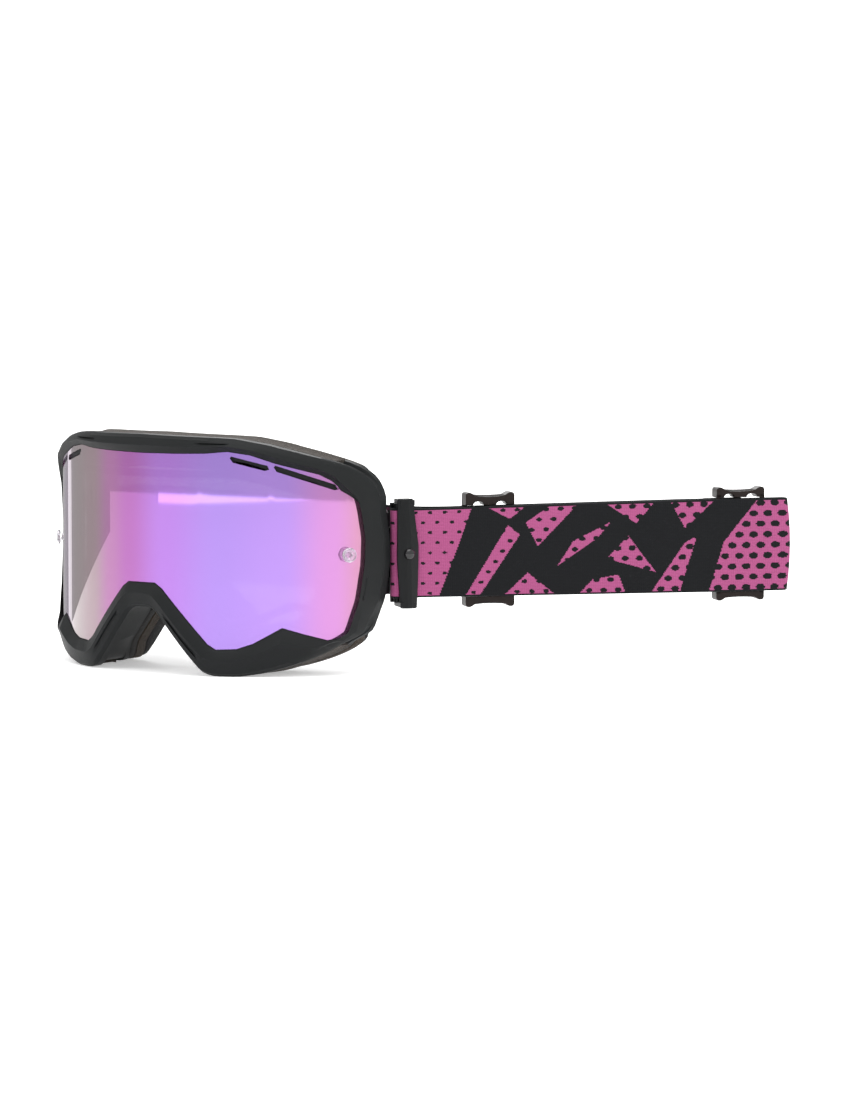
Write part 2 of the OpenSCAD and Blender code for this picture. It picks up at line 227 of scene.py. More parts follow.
# Each station round half of the frame, from the top middle: the lens's edge (along its arc,
# height), the frame's edge (across, height), the eye opening in the foam (across, height), how
# far the bezel's ridge stands out, and how deep the channel behind the bezel is.
stations = [
    ((0, 49), (0, 58), (0, 40), 0.5, 4.0),
    ((20, 49.2), (20, 57.6), (17, 40), 0.4, 4.0),
    ((35, 49.6), (36, 57.3), (30, 39.6), 0.7, 4.0),
    ((46, 50.6), (47, 56.8), (40, 39), 1.0, 4.0),
    ((57, 49), (60, 54), (48, 37.6), 0.6, 4.0),
    ((69, 45), (70, 50.6), (54, 35.4), 0.5, 4.0),
    ((90, 39.6), (81.4, 46.2), (60, 31.6), 0.5, 3.4),
    ((96, 36.6), (87, 43), (63, 28), 0.5, 2.4),
    ((101, 31.6), (91, 38.6), (65.6, 24), 0.4, 1.4),
    ((105, 29.4), (93, 34), (67, 21), 0.4, 1.0),
    ((110, 26), (94.4, 28), (68.4, 16.4), 0.4, 0.8),
    ((113, 20), (94.2, 21), (69.4, 12), 0.4, 0.8),
    ((115, 9), (95.3, 8), (70.6, 5), 0.4, 0.8),
    ((114, -4), (95.4, -4), (70.4, -4), 0.4, 0.8),
    ((111, -21), (94, -21), (69, -14), 0.5, 0.8),
    ((107, -35), (90, -37.4), (65, -25), 0.7, 1.2),
    ((101, -38.6), (84, -42), (62.4, -29), 1.2, 1.6),
    ((94, -39.6), (79, -46.2), (59.6, -32), 1.2, 2.4),
    ((82, -36.4), (74, -49.2), (56.4, -34.6), 1.8, 3.4),
    ((72, -33.4), (68, -52), (53, -36.4), 2.8, 4.0),
    ((58, -41), (58, -55.4), (47.4, -37.6), 1.4, 4.0),
    ((50, -43.6), (49, -57), (43, -37), 0.8, 4.0),
    ((40, -44), (37.4, -57), (39, -34.4), 0.8, 2.4),
    ((36, -41.6), (32, -55.4), (35.6, -30.6), 1.0, 1.0),
    ((24, -28.6), (22.4, -44.6), (26, -20.4), 1.6, 0.8),
    ((12, -15.6), (11.6, -31.6), (16.4, -11), 1.6, 0.8),
    ((8, -13), (8, -27), (11, -8), 1.2, 0.8),
    ((4, -13), (4.4, -25), (5.4, -7), 1.0, 0.8),
    ((0, -13), (0, -25), (0, -7), 1.0, 0.8),
]
sample_step = 3.2


def round_trip(pick):
    """The station values round the whole frame, clockwise from the top middle, closely spaced."""
    samples = []
    for one, two in zip(stations, stations[1:]):
        span = math.dist(one[1], two[1])
        count = max(1, math.ceil(span / sample_step))
        for i in range(count):
            f = i / count
            a, b = pick(one), pick(two)
            samples.append(tuple(p + (q - p) * f for p, q in zip(a, b)))
    samples.append(pick(stations[-1]))
    mirrored = [(-s[0], *s[1:]) if len(s) > 1 else s for s in samples[-2:0:-1]]
    return samples + mirrored


def eased(values, rounds):
    """The closed loop of values with its corners relaxed."""
    for _ in range(rounds):
        after = values[1:] + values[:1]
        values = [tuple((a + 2 * b + c) / 4 for a, b, c in zip(values[i - 1], v, after[i]))
                  for i, v in enumerate(values)]
    return values


def inset(loop, amounts):
    """A clockwise loop moved inwards by the amount given, or by one amount at each point."""
    if not isinstance(amounts, list):
        amounts = [amounts] * len(loop)
    moved = []
    for i, p in enumerate(loop):
        a, b = Vector(loop[i - 1]), Vector(loop[(i + 1) % len(loop)])
        run = (b - a).normalized()
        moved.append((p[0] + run.y * amounts[i], p[1] - run.x * amounts[i]))
    return eased(moved, 2) if max(amounts) > 3 else moved


lens_edge = round_trip(lambda s: s[0])
frame_edge = eased(round_trip(lambda s: s[1]), 1)
eye_edge = eased(round_trip(lambda s: s[2]), 3)
ridge = [v[0] for v in round_trip(lambda s: (s[3],))]
channel = [v[0] for v in eased(round_trip(lambda s: (s[4],)), 2)]


def at_lens(p, out):
    """The point at arc distance and height p, out from the lens's face by a distance, all in mm."""
    r = lens_r + out * mm
    turn = p[0] * mm / lens_r
    return Vector((r * math.sin(turn), lens_axis_y - r * math.cos(turn), p[1] * mm))


def front_y(x, out):
    r = lens_r + out * mm
    return lens_axis_y - math.sqrt(max(r * r - x * x, (12 * mm) ** 2))


def face_y(x, back):
    """The face curve at x, moved back by a distance in mm."""
    return face_front + back * mm + face_r - math.sqrt(face_r ** 2 - x * x)


def at_front(p, out):
    x = p[0] * mm
    return Vector((x, front_y(x, out), p[1] * mm))


def at_back(p, back):
    x = p[0] * mm
    return Vector((x, face_y(x, back), p[1] * mm))


def nose_pull(p):
    """How much nearer to the lens the frame's back edge is beside the nose, in mm."""
    return 7 * share_of(-abs(p[0]), -34, -24) * share_of(-p[1], 14, 22)


def at_bezel_back(p, extra):
    """Just behind the bezel: 9 mm deep, or a little over half of the frame where that is less."""
    x = p[0] * mm
    front = front_y(x, 2.5)
    depth = min(9 * mm, 0.55 * (face_y(x, 0) - front))
    return Vector((x, front + depth + extra * mm, p[1] * mm))


def loft(rings):
    """Points and faces of a closed tube of closed rings."""
    verts = [v for ring in rings for v in ring]
    n, m = len(rings[0]), len(rings)
    faces = [(k * n + i, k * n + (i + 1) % n, (k + 1) % m * n + (i + 1) % n, (k + 1) % m * n + i)
             for k in range(m) for i in range(n)]
    return verts, faces


def finished(obj):
    """Replaces a piece's mesh with the result of its modifiers."""
    depsgraph = bpy.context.evaluated_depsgraph_get()
    mesh = bpy.data.meshes.new_from_object(obj.evaluated_get(depsgraph))
    obj.modifiers.clear()
    obj.data = mesh
    return obj


def outward(obj):
    """Turns a closed piece's faces to point outwards."""
    bm = bmesh.new()
    bm.from_mesh(obj.data)
    bmesh.ops.recalc_face_normals(bm, faces=bm.faces)
    bm.to_mesh(obj.data)
    bm.free()
    return obj


def rounded(obj, width, segments=2, limit=28):
    """Bevels the piece's sharp edges, as a mould's parting and corners are."""
    bevel = obj.modifiers.new("rounded_edges", "BEVEL")
    bevel.width = width * mm
    bevel.segments = segments
    bevel.limit_method = "ANGLE"
    bevel.angle_limit = math.radians(limit)
    bevel.harden_normals = True
    return finished(obj)


def shader_group(name, inputs, outputs):
    """A shader group with number sockets of the names given, and its two end nodes."""
    group = bpy.data.node_groups.new(name, "ShaderNodeTree")
    for way, sockets in (("INPUT", inputs), ("OUTPUT", outputs)):
        for socket in sockets:
            group.interface.new_socket(socket, in_out=way, socket_type="NodeSocketFloat")
    return group, group.nodes.new("NodeGroupInput"), group.nodes.new("NodeGroupOutput")


# Fine moulded grain: a height for bump, and a soft mask for roughness and colour
moulded_grain, grain_in, grain_out = shader_group("moulded_grain", ["Grain Scale"], ["Height", "Mottle"])
grain_place = add_node(moulded_grain, "ShaderNodeTexCoord").outputs["Object"]
fine_grain = add_node(moulded_grain, "ShaderNodeTexVoronoi",
                      {"Vector": grain_place, "Scale": grain_in.outputs["Grain Scale"]})
mottle = add_node(moulded_grain, "ShaderNodeTexNoise", {"Vector": grain_place, "Scale": 34, "Detail": 5})
wire(grain_out, {"Height": fine_grain.outputs["Distance"], "Mottle": mottle.outputs["Fac"]})


def ranged(value, low, high, from_low=0, from_high=1):
    """A value that varies over the surface, spread from one range to another."""
    spread = {"Value": value, "From Min": from_low, "From Max": from_high, "To Min": low, "To Max": high}
    return add_node(value.id_data, "ShaderNodeMapRange", spread).outputs["Result"]


def mixed(factor, one, two):
    """Two colours mixed by a factor that varies over the surface."""
    return add_node(factor.id_data, "ShaderNodeMix", {"Factor": factor, "A": (*one, 1), "B": (*two, 1)},
                    data_type="RGBA").outputs["Result"]


def moulded_plastic(name, dark, light, roughness, grain_scale, bump, **inputs):
    """Matte moulded plastic whose colour and gloss vary a little, with a fine grain."""
    material, shader = plain_material(name, dark, roughness, Specular_IOR_Level=0.16, **inputs)
    grain = add_node(material.node_tree, "ShaderNodeGroup", {"Grain Scale": grain_scale},
                     node_tree=moulded_grain)
    wire(shader, {"Base Color": mixed(grain.outputs["Mottle"], dark, light),
                  "Roughness": ranged(grain.outputs["Mottle"], roughness - 0.06, roughness + 0.08)})
    bumped(shader, grain.outputs["Height"], bump, Distance=0.0002)
    return material


frame_plastic = moulded_plastic("soft_touch_frame", (0.0055, 0.0063, 0.0066), (0.009, 0.0105, 0.011),
                                0.45, 2600, 0.22)

n_round = len(frame_edge)
rebate = inset(lens_edge, -0.3)
bezel_start = inset(lens_edge, -1.5)
opening = inset(lens_edge, 4)
bezel_end = inset(frame_edge, 1.4)
channel_edge = inset(frame_edge, channel)
flange_edge = inset(frame_edge, 1.0)
chamber_edge = inset(frame_edge, 7)
ridge_share = 0.4


def groove_depth(p):
    """How deep the moulded groove in the bezel is: beside the nose, at the sides and on the brow."""
    x, z = abs(p[0]), p[1]
    if 13.5 < x < 29.5 and -53 < z < -32:
        return 0.9
    if x > 93.6 and -19 < z < -11:
        return 0.7
    return 0.8 if 33 < x < 45 and z > 50 else 0


groove = [groove_depth(p) for p in frame_edge]


def bezel(i, share, out=0.0):
    """A point of the bezel, a share of the way from the rebate to the rim, raised to its ridge."""
    x0, x1 = at_lens(bezel_start[i], 0).x / mm, bezel_end[i][0]
    z0, z1 = bezel_start[i][1], bezel_end[i][1]
    crest = 2.2 + ridge[i] * 0.7
    rise = (1.3 + (crest - 1.3) * share / ridge_share if share < ridge_share
            else crest + (1.2 - crest) * (share - ridge_share) / (1 - ridge_share))
    return at_front((x0 + (x1 - x0) * share, z0 + (z1 - z0) * share), rise + out)


frame_rings = [
    [at_lens(p, -4.2) for p in opening],
    [at_lens(p, -1.2) for p in opening],
    [at_lens(p, -1.2) for p in rebate],
    [at_lens(p, 0.3) for p in rebate],
    [at_lens(p, 1.3) for p in bezel_start],
    [bezel(i, ridge_share) for i in range(n_round)],
    [bezel(i, 0.56) for i in range(n_round)],
    [bezel(i, 0.6, -groove[i]) for i in range(n_round)],
    [bezel(i, 0.72, -groove[i]) for i in range(n_round)],
    [bezel(i, 0.76) for i in range(n_round)],
    [bezel(i, 1) for i in range(n_round)],
    [at_front(p, -0.9) for p in frame_edge],
    [at_bezel_back(p, -0.4) for p in frame_edge],
    [at_bezel_back(p, 0) for p in channel_edge],
    [at_back(p, -3.2 - nose_pull(p)) for p in channel_edge],
    [at_back(p, -2.9 - nose_pull(p)) for p in flange_edge],
    [at_back(p, -nose_pull(p)) for p in flange_edge],
    [at_back(p, -nose_pull(p)) for p in chamber_edge],
    [at_front(p, -4.2) for p in chamber_edge],
]
frame_shell = mesh_object("frame_shell_skin", *loft(frame_rings), frame_plastic, 32)
outward(frame_shell)
rounded(frame_shell, 0.35)
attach(frame_shell, "frame")
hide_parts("frame_shell")

# ---------------------------------------------------------------------------
# Lens
# A cylindrical sheet with a violet mirror coating, die-cut to the rebate and
# slotted near its upper corners, over a clear pane on a closed-cell spacer.
# ---------------------------------------------------------------------------
slots = [((48.6, 46.9), (64.6, 42.9)), ((69.6, 42.6), (98.4, 33.2))]
slot_half = 1.35


def slot_outline(one, two):
    """A long slot between two points of the flat sheet, its ends cut on a slant."""
    a, b = Vector(one), Vector(two)
    run = (b - a).normalized()
    up = Vector((-run.y, run.x)) * slot_half
    return [a + up - run * 1.2, a + up * 0.2 - run * 1.6, a - up + run * 0.4, b - up - run * 0.4,
            b - up * 0.2 + run * 1.6, b + up + run * 0.2]


def flat_sheet(name, loops, strip, material):
    """The outline and holes filled flat, sliced into upright strips so that it can be bent."""
    bm = bmesh.new()
    edges = []
    for loop in loops:
        verts = [bm.verts.new((p[0], p[1], 0)) for p in loop]
        edges += [bm.edges.new((verts[i - 1], verts[i])) for i in range(len(verts))]
    bmesh.ops.triangle_fill(bm, edges=edges, use_beauty=True)
    reach = max(p[0] for p in loops[0])
    cut = -reach + strip
    while cut < reach:
        bmesh.ops.bisect_plane(bm, geom=bm.verts[:] + bm.edges[:] + bm.faces[:],
                               plane_co=(cut, 0, 0), plane_no=(1, 0, 0))
        cut += strip
    for face in bm.faces:
        if face.normal.z < 0:
            face.normal_flip()
    mesh = bpy.data.meshes.new(name)
    bm.to_mesh(mesh)
    bm.free()
    mesh.materials.append(material)
    return new_object(name, mesh)


def bent_sheet(name, loops, out, thickness, material):
    """The flat sheet bent round the lens's axis and given its thickness inwards."""
    sheet = flat_sheet(name, loops, 2.4, material)
    for v in sheet.data.vertices:
        v.co = at_lens((v.co.x, v.co.y), out)
    solid = sheet.modifiers.new("thickness", "SOLIDIFY")
    solid.thickness = thickness * mm
    solid.offset = -1
    finished(sheet)
    outward(sheet)
    sheet.data.shade_smooth()
    sheet.data.set_sharp_from_angle(angle=math.radians(35))
    return sheet


mirror_violet, mirror_shader = plain_material(
    "violet_mirror", (0.4, 0.2, 0.6), 0.06, Metallic=0.82, Coat_IOR=1.6, Coat_Roughness=0.02, Alpha=0.88)
mirror_tree = mirror_violet.node_tree
lens_place = add_node(mirror_tree, "ShaderNodeTexCoord").outputs["Object"]
lens_parts = add_node(mirror_tree, "ShaderNodeSeparateXYZ", {"Vector": lens_place})
lens_reach = ranged(lens_parts.outputs["X"], 0, 1, -92 * mm, 92 * mm)
# The mirror's tint across the lens, from minus x to plus x. It is the coating's own violet and pink with
# painted reflection in it: the grey-taupe band near x -52 to -35 mm and the magenta band beside it stand for
# the grey and magenta that the coating reflects at glancing angles on that side.
coating_and_reflection = add_node(mirror_tree, "ShaderNodeValToRGB", {"Fac": lens_reach})
coating_and_reflection.color_ramp.interpolation = "EASE"
coating_and_reflection_stops = [(0.0, (0.48, 0.29, 0.38)), (0.12, (0.38, 0.25, 0.42)), (0.22, (0.30, 0.24, 0.25)),
                 (0.31, (0.31, 0.22, 0.25)), (0.39, (0.37, 0.15, 0.33)), (0.455, (0.36, 0.115, 0.37)),
                 (0.57, (0.37, 0.17, 0.56)), (0.72, (0.34, 0.21, 0.60)), (0.86, (0.37, 0.22, 0.61)),
                 (0.95, (0.50, 0.22, 0.50)), (1.0, (0.50, 0.23, 0.34))]
while len(coating_and_reflection.color_ramp.elements) < len(coating_and_reflection_stops):
    coating_and_reflection.color_ramp.elements.new(0.5)
for element, (place, color) in zip(coating_and_reflection.color_ramp.elements, coating_and_reflection_stops):
    element.position = place
    element.color = (*color, 1)
lens_gloss = add_node(mirror_tree, "ShaderNodeLayerWeight", {"Blend": 0.45})
lens_haze = add_node(mirror_tree, "ShaderNodeTexNoise", {"Vector": lens_place, "Scale": 14})
wire(mirror_shader, {"Base Color": coating_and_reflection.outputs["Color"], "Coat Weight": lens_gloss.outputs["Facing"],
                     "Roughness": ranged(lens_haze.outputs["Fac"], 0.015, 0.04)})

slot_loops = []
for one, two in slots:
    outline = slot_outline(one, two)
    slot_loops += [outline, [Vector((-p.x, p.y)) for p in outline]]
lens = bent_sheet("mirror_lens", [lens_edge] + slot_loops, 0, 1.1, mirror_violet)
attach(lens, "frame")
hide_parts("lens_outer")

clear_pane, pane_shader = plain_material("clear_pane", (0.9, 0.9, 0.92), 0.05,
                                         Transmission_Weight=1.0, IOR=1.35, Alpha=0.16)
pane_haze = add_node(clear_pane.node_tree, "ShaderNodeTexNoise", {"Scale": 9})
wire(pane_shader, {"Roughness": ranged(pane_haze.outputs["Fac"], 0.03, 0.09)})
seal_black = moulded_plastic("seal_foam", (0.012, 0.012, 0.013), (0.02, 0.02, 0.02), 0.8, 900, 0.5)
for node_name, material in (("lens_inner", clear_pane), ("lens_spacer", seal_black)):
    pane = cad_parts[node_name]
    pane.data.materials.clear()
    pane.data.materials.append(material)

# ---------------------------------------------------------------------------
# Tear-off posts
# Clear moulded buttons pushed through the lens, with a mushroom head that the
# tabs of tear-off films hook over.
# ---------------------------------------------------------------------------
post_turn = 104 / 102
post_z = 1 * mm
post_profile = [(0, -2.0), (2.5, -2.0), (2.6, -1.8), (2.6, -1.3), (1.75, -1.2), (1.75, 0.1), (2.3, 0.15),
                (2.5, 0.4), (1.9, 0.75), (1.6, 1.4), (1.9, 2.1), (3.1, 2.3), (3.5, 2.6), (3.6, 3.0),
                (3.5, 3.4), (3.0, 3.8), (2.4, 3.95), (2.0, 3.7), (1.2, 3.55), (0, 3.5)]
clear_plastic, post_shader = plain_material("clear_post", (0.93, 0.95, 0.97), 0.08,
                                            Transmission_Weight=0.92, IOR=1.49)
post_haze = add_node(clear_plastic.node_tree, "ShaderNodeTexNoise", {"Scale": 420})
bumped(post_shader, post_haze.outputs["Fac"], 0.12)


def upright(rings):
    """Points and faces of a bar through rings of points, closed at both ends."""
    n = len(rings[0])
    faces = [tuple(range(n)), tuple(range((len(rings) - 1) * n, len(rings) * n))]
    faces += [(k * n + i, k * n + (i + 1) % n, (k + 1) * n + (i + 1) % n, (k + 1) * n + i)
              for k in range(len(rings) - 1) for i in range(n)]
    return [p for ring in rings for p in ring], faces


def turned_piece(name, profile, place, axis, material, steps=40):
    """A piece turned from a profile of (radius, height) in mm, standing on place along axis."""
    turn = Vector(axis).to_track_quat("Z", "Y")
    rounds = [(math.cos(2 * math.pi * i / steps), math.sin(2 * math.pi * i / steps)) for i in range(steps)]
    rings = [[place + turn @ (Vector((radius * c, radius * s, height)) * mm) for c, s in rounds]
             for radius, height in profile if radius > 0]
    return outward(mesh_object(name, *upright(rings), material, 35))


for side, word in ((1, "left"), (-1, "right")):
    normal = Vector((side * math.sin(post_turn), -math.cos(post_turn), 0))
    base = Vector((0, lens_axis_y, post_z)) + normal * lens_r
    post = turned_piece(f"tear_off_button_{word}", post_profile, base, normal, clear_plastic)
    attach(post, "frame")
    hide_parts(f"tear_off_post_{word}")

# ---------------------------------------------------------------------------
# Foams
# Open-cell foam fills the vent channel, and three laminated layers, cut with
# a hot blade, follow the frame's back edge: dense base, brown foam, fleece.
# ---------------------------------------------------------------------------

# Open cells of foam: a height for bump and a mask that is dark in the cells, which paints shade down in them
foam_cells, cells_in, cells_out = shader_group("foam_cells", ["Cell Scale"], ["Height", "Depth"])
foam_place = add_node(foam_cells, "ShaderNodeTexCoord").outputs["Object"]
cell = add_node(foam_cells, "ShaderNodeTexVoronoi",
                {"Vector": foam_place, "Scale": cells_in.outputs["Cell Scale"]}, feature="F1")
fibres = add_node(foam_cells, "ShaderNodeTexNoise", {"Vector": foam_place, "Scale": 800, "Detail": 4})
cell_height = add_node(foam_cells, "ShaderNodeMath",
                       {0: cell.outputs["Distance"], 1: fibres.outputs["Fac"]}, operation="MULTIPLY")
wire(cells_out, {"Height": cell_height.outputs["Value"], "Depth": cell.outputs["Distance"]})


def foam_material(name, dark, light, cell_scale, bump, sheen):
    """Cut foam or fleece, with painted shade darkening it down in its cells."""
    material, shader = plain_material(name, light, 0.95, Sheen_Weight=sheen, Specular_IOR_Level=0.15)
    cells = add_node(material.node_tree, "ShaderNodeGroup", {"Cell Scale": cell_scale}, node_tree=foam_cells)
    cell_shade = add_node(material.node_tree, "ShaderNodeValToRGB", {"Fac": cells.outputs["Depth"]})
    for element, place, color in zip(cell_shade.color_ramp.elements, (0.15, 0.6), (dark, light)):
        element.position = place
        element.color = (*color, 1)
    wire(shader, {"Base Color": cell_shade.outputs["Color"]})
    bumped(shader, cells.outputs["Height"], bump, Distance=0.0008)
    return material


vent_grey = foam_material("vent_foam_grey", (0.018, 0.015, 0.013), (0.07, 0.06, 0.052), 1500, 0.9, 0.1)
base_black = foam_material("dense_black_foam", (0.008, 0.008, 0.008), (0.022, 0.021, 0.02), 1900, 0.5, 0.1)
middle_brown = foam_material("brown_foam", (0.012, 0.009, 0.006), (0.05, 0.038, 0.028), 1300, 1.0, 0.1)
fleece_black = foam_material("black_fleece", (0.004, 0.004, 0.0045), (0.015, 0.0145, 0.015), 2600, 0.7, 0.12)
fleece_from, fleece_face = 12.05, 15.0
temple_cut = 80.2
temple_low, temple_high = 29.5, 40.0


def beside_hinge(p):
    """Keeps the foam's outer edge clear of the outrigger's hinge."""
    f = share_of(abs(p[1]), temple_low, temple_high)
    limit = temple_cut + 1.6 * f * f * (3 - 2 * f)
    return (math.copysign(min(abs(p[0]), limit), p[0]), p[1])


def foam_layer(name, back, thickness, edge, bulge, material, node_name):
    """A laminated ring: swollen a little at mid thickness, with its cut edges softened."""
    soft = 0.6
    top, low = back + thickness, back

    def at_level(p, level):
        """The foams follow the frame's back edge, and the fleece's face stays on the wearer's."""
        return at_back(p, level - nose_pull(p) * (1 if level <= fleece_from else (fleece_face - level) / 3))

    def outer_loop(amount):
        """The frame's edge moved in, clear of the hinges and 2.4 mm lower over the brow."""
        loop = eased([beside_hinge(p) for p in inset(frame_edge, amount)], 6)
        return [(x, z - 2.4 * share_of(z, 32, 44)) for x, z in loop]

    outer, outer_out = outer_loop(edge), outer_loop(edge - bulge)
    inner, inner_out = inset(eye_edge, -edge / 4), inset(eye_edge, bulge - edge / 4)
    outside = [(outer, low), (outer_out, low + soft), (outer_out, (low + top) / 2), (outer_out, top - soft),
               (outer, top)]
    inside = [(inner, top), (inner_out, top - soft), (inner_out, (low + top) / 2), (inner_out, low + soft),
              (inner, low)]
    rings = [[at_level(p, level) for p in loop] for loop, level in outside + inside]
    foam = mesh_object(name, *loft(rings), material, 50)
    outward(foam)
    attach(foam, "frame")
    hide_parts(node_name)
    return foam


# Each layer: how far back it starts, its thickness, how far its edge is set in, and its bulge
foam_layer("foam_base_ring", 0.05, 4.9, 1.2, 0.3, base_black, "face_foam_base")
foam_layer("foam_middle_ring", 5.0, 7.0, 1.6, 0.9, middle_brown, "face_foam_middle")
foam_layer("fleece_ring", fleece_from, fleece_face - fleece_from, 2.2, 0.7, fleece_black,
                   "face_fleece")


def vent_strip(name, inside, node_name):
    """Foam laid in the channel behind the bezel, crowned a little above the frame's edge."""
    picked = [i for i in range(n_round) if inside(frame_edge[i])]
    gap = next((k for k in range(1, len(picked)) if picked[k] - picked[k - 1] > 1), 0)
    picked = picked[gap:] + picked[:gap]
    crown = inset(frame_edge, 0.5)
    low_edge = inset(frame_edge, 2.2)
    rings = []
    for i in picked:
        front, rear = at_bezel_back(frame_edge[i], 0.3), at_back(frame_edge[i], -3.3)
        edge_a, edge_b = at_bezel_back(low_edge[i], 0.3), at_back(low_edge[i], -3.3)
        top = Vector((crown[i][0] * mm, 0, crown[i][1] * mm))
        rings.append([edge_a, front] + [Vector((top.x, front.y + (rear.y - front.y) * f, top.z))
                                        for f in (0.2, 0.5, 0.8)] + [rear, edge_b])
    strip = outward(mesh_object(name, *upright(rings), vent_grey, 50))
    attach(strip, "frame")
    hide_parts(node_name)


vent_strip("vent_strip_top", lambda p: p[1] > 45.4, "vent_foam_top")
vent_strip("vent_strip_low_left", lambda p: p[1] < -43 and p[0] > 40, "vent_foam_bottom_left")
vent_strip("vent_strip_low_right", lambda p: p[1] < -43 and p[0] < -40, "vent_foam_bottom_right")

# ---------------------------------------------------------------------------
# Outriggers
# Each is a faceted front bar and a back bar tied by links, with the post that
# the strap turns round, on an arm that pivots on a steel pin in the frame.
# ---------------------------------------------------------------------------
hinge = (88.0, 34.2)
headings = {1: math.radians(52), -1: math.radians(86)}


def beside(side, t, y, z=0.0):
    """The point t along the strap from a hinge, y towards the head and z up, all in mm."""
    h = headings[side]
    return Vector((side * (hinge[0] + t * math.cos(h) - y * math.sin(h)),
                   hinge[1] + t * math.sin(h) + y * math.cos(h), z)) * mm


def prism(outline, low, high):
    """Points (t, y, z) and faces of an outline of (t, z) given depth from low to high."""
    return upright([[(t, y, z) for t, z in outline] for y in (low, high)])


def rod(t, y, radius, low, high, steps=28):
    """An upright rod with softened ends."""
    soft = min(0.25, radius / 4)
    levels = ((radius - soft, low), (radius, low + soft), (radius, high - soft), (radius - soft, high))
    turns = [2 * math.pi * i / steps for i in range(steps)]
    return upright([[(t + r * math.cos(a), y + r * math.sin(a), z) for a in turns] for r, z in levels])


def joined(solids):
    """Points and faces of several solids as one."""
    points, faces = [], []
    for solid_points, solid_faces in solids:
        faces += [tuple(i + len(points) for i in face) for face in solid_faces]
        points += solid_points
    return points, faces


def built(name, side, solids, material):
    """One mesh object from solids in a hinge's own frame."""
    points, faces = joined(solids)
    return outward(mesh_object(name, [beside(side, *p) for p in points], faces, material, 40))


def box_outline(t0, t1, z0, z1):
    return [(t0, z0), (t1, z0), (t1, z1), (t0, z1)]


outrigger_black = moulded_plastic("outrigger_black", (0.004, 0.0045, 0.005), (0.008, 0.009, 0.0095),
                                  0.3, 1900, 0.15)
gloss_black = moulded_plastic("gloss_black", (0.006, 0.006, 0.007), (0.01, 0.01, 0.011), 0.1, 900, 0.02,
                              Coat_Weight=0.8)
steel = moulded_plastic("pin_steel", (0.42, 0.42, 0.43), (0.55, 0.55, 0.56), 0.28, 1400, 0.08, Metallic=1.0)

# Height, half width, how proud the ridge stands and how far the bar leans, from the bottom to the top
bar_stations = [(-26.5, 3.6, 8.2, 0.4), (-25.9, 4.1, 9.0, 0.4), (-14.0, 4.8, 9.6, 0.2), (-4.2, 5.25, 9.8, 0),
                (0.0, 5.3, 9.8, 0), (4.2, 5.25, 9.8, 0), (14.0, 4.6, 9.6, -0.6), (25.9, 3.9, 9.0, -1.3),
                (26.5, 3.4, 8.2, -1.3)]
bar_middle = 10.25
stud_profile = [(1.4, 0.0), (2.6, 0.0), (2.75, 0.2), (2.6, 0.75), (2.2, 1.35), (1.5, 1.8), (0.8, 2.0),
                (0.2, 2.05)]
pin_profile = [(0.7, -19.9), (1.0, -19.6), (1.0, 19.6), (1.9, 19.7), (1.9, 20.3), (1.5, 20.7), (0.4, 20.8)]
lug_levels = ((13.2, 19.7), (-19.7, -13.2))
web_corners = [(85.4, 17.5), (90.6, 19.0), (90.6, 34.2), (85.4, 34.2)]
web_faces = [(0, 1, 2, 3), (7, 6, 5, 4)] + [(i, (i + 1) % 4, (i + 1) % 4 + 4, i + 4) for i in range(4)]
for side, word in ((1, "left"), (-1, "right")):
    front_bar = upright([[(bar_middle + lean + dt, y, z) for dt, y in (
        (-half, -6.2), (-half, -7.4), (-1.0, -proud), (1.0, -proud), (half, -7.4), (half, -6.2))]
        for z, half, proud, lean in bar_stations])
    links = [prism(box_outline(6.2, 13.4, low, high), -8.4, 3.2)
             for low, high in ((23.4, 25.9), (-25.9, -23.4))]
    back_bar = prism([(4, -24), (16, -24), (15, -8), (15, 8), (16, 24), (4, 24)], 1.0, 3.2)
    arm = prism([(0, -11.5), (5, -12.5), (5, 12.5), (0, 11.5)], 0.6, 2.9)
    knuckle = rod(0, 0, 2.6, -13.1, 13.1)
    strap_post = rod(6, -2.5, 1.5, -24, 24)
    outrigger = built(f"outrigger_arm_{word}", side,
                      [front_bar, *links, back_bar, arm, knuckle, strap_post], outrigger_black)
    rounded(outrigger, 0.35)
    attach(outrigger, f"outrigger_{word}")
    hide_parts(f"outrigger_{word}")

    inwards = beside(side, 0, 1) - beside(side, 0, 0)
    stud = turned_piece(f"outrigger_button_{word}", stud_profile, beside(side, bar_middle, -9.75),
                        -inwards, gloss_black)
    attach(stud, f"outrigger_{word}")
    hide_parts(f"outrigger_stud_{word}")

    pin = turned_piece(f"hinge_pin_{word}_turned", pin_profile, beside(side, 0, 0), (0, 0, 1), steel)
    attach(pin, "frame")
    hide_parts(f"hinge_pin_{word}")

    # The frame's lugs hold the pin above and below the knuckle, each on a web
    lugs = built(f"hinge_lugs_{word}", side, [rod(0, 0, 2.6, *level) for level in lug_levels], frame_plastic)
    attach(lugs, "frame")
    for place, level in zip(("high", "low"), lug_levels):
        points = [Vector((side * x, y, z)) * mm for z in level for x, y in web_corners]
        web = mesh_object(f"lug_web_{word}_{place}", points, web_faces, frame_plastic)
        outward(rounded(web, 0.4))
        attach(web, "frame")

# ---------------------------------------------------------------------------
# Strap
# Woven elastic 45 mm wide, printed with black shards on a dotted pink ground.
# It turns round both outriggers and is sewn to the middle bar of each adjuster.
# ---------------------------------------------------------------------------
strap_half, half_thick = 22.5, 0.8
pink = (0.37, 0.08, 0.205)
ink = (0.0075, 0.008, 0.0092)

